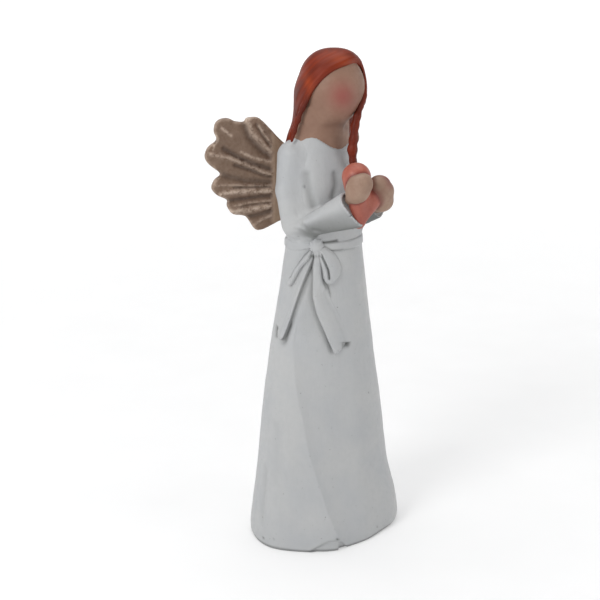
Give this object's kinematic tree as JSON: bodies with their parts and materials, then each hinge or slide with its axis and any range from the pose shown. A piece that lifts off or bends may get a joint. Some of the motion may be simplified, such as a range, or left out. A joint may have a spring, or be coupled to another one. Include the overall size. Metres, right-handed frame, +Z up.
{
  "type": "angel figurine",
  "caption": "Slim faceless angel in a long plain gown with scalloped bronze wings, auburn hair and a ribbon at the waist, holding a coral heart before the chest.",
  "frame": {"origin": "centre of the face the figurine rests on, at the underside of the felt pad", "axes": "+Z up along the figure, -Y the way the figure faces, +X to the figure's left"},
  "size_m": [0.0782, 0.0693, 0.1999],
  "materials": {
    "gown_white": "off-white paint on cast resin, eggshell",
    "hair_auburn": "auburn paint with lighter streaks, satin",
    "skin_beige": "beige paint with a soft blush, matt",
    "heart_coral": "coral paint, satin",
    "wing_bronze": "brown paint with pale dry-brushed ridges, matt",
    "pin_steel": "plain wire",
    "pad_felt": "pressed felt"
  },
  "bodies": {
    "root": {"gown": "gown_white", "sleeve_right": "gown_white", "sleeve_left": "gown_white", "sash_band": "gown_white", "bow_knot": "gown_white", "bow_loop_rear": "gown_white", "bow_loop_front": "gown_white", "ribbon_tail_rear": "gown_white", "ribbon_tail_front": "gown_white", "head": "skin_beige", "hand_right": "skin_beige", "hand_left": "skin_beige", "hair_cap": "hair_auburn", "hair_lock_right": "hair_auburn", "hair_lock_left": "hair_auburn", "heart": "heart_coral", "wing_right": "wing_bronze", "wing_left": "wing_bronze", "wing_pins": "pin_steel", "base_felt_pad": "pad_felt"}
  },
  "joints": []
}
